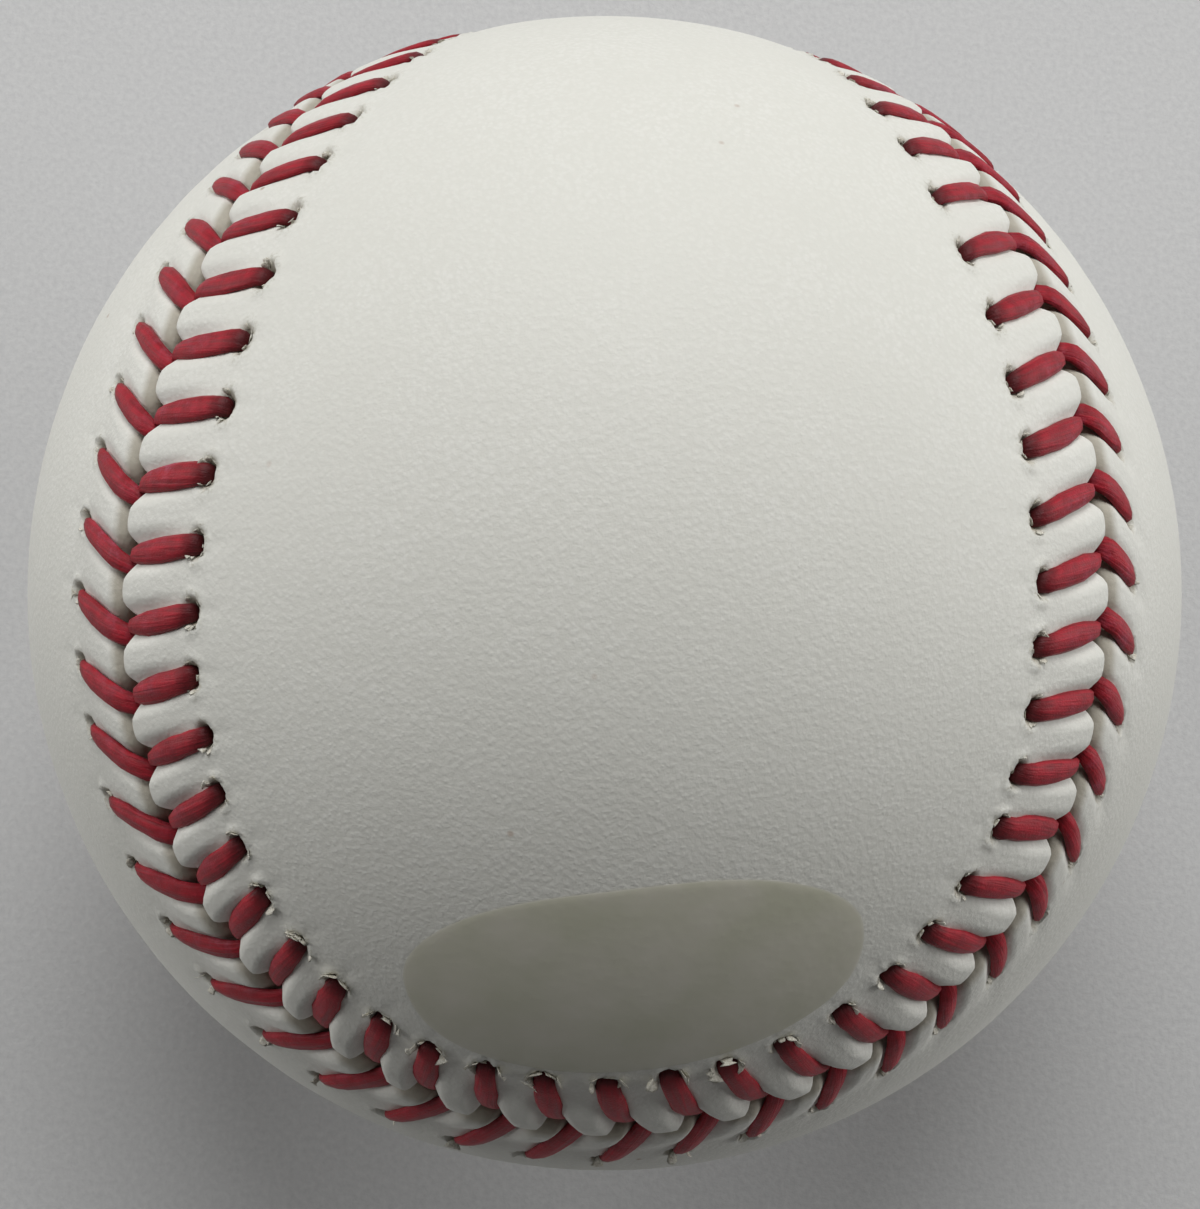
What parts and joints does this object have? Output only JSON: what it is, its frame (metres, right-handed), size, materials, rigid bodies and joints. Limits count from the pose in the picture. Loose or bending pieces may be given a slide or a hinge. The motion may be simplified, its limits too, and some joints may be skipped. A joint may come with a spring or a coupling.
{
  "type": "baseball",
  "caption": "Hard leather-covered ball with a rubber-cased cork centre, wound yarn layers, a two-piece cover and raised red lacing.",
  "frame": {"origin": "the middle of the ball", "axes": "+Z out through the middle of one end of the front cover panel, the side that the picture shows; +Y out through the front panel's waist; +X out through the middle of one end of the back panel"},
  "size_m": [0.074, 0.074, 0.074],
  "materials": {
    "cork": "matte",
    "black_rubber": "matte",
    "red_rubber": "matte",
    "grey_wool": "matte",
    "white_wool": "matte",
    "fine_yarn": "matte",
    "white_leather": "matte",
    "red_thread": "satin"
  },
  "bodies": {
    "root": {"cork_core": "cork", "black_rubber_shell_top": "black_rubber", "black_rubber_shell_bottom": "black_rubber", "rubber_washer": "red_rubber", "red_rubber_layer": "red_rubber", "first_winding": "grey_wool", "second_winding": "white_wool", "third_winding": "grey_wool", "finishing_winding": "fine_yarn", "cover_panel_front": "white_leather", "cover_panel_back": "white_leather", "lacing_strand_one": "red_thread", "lacing_strand_two": "red_thread"}
  },
  "joints": []
}
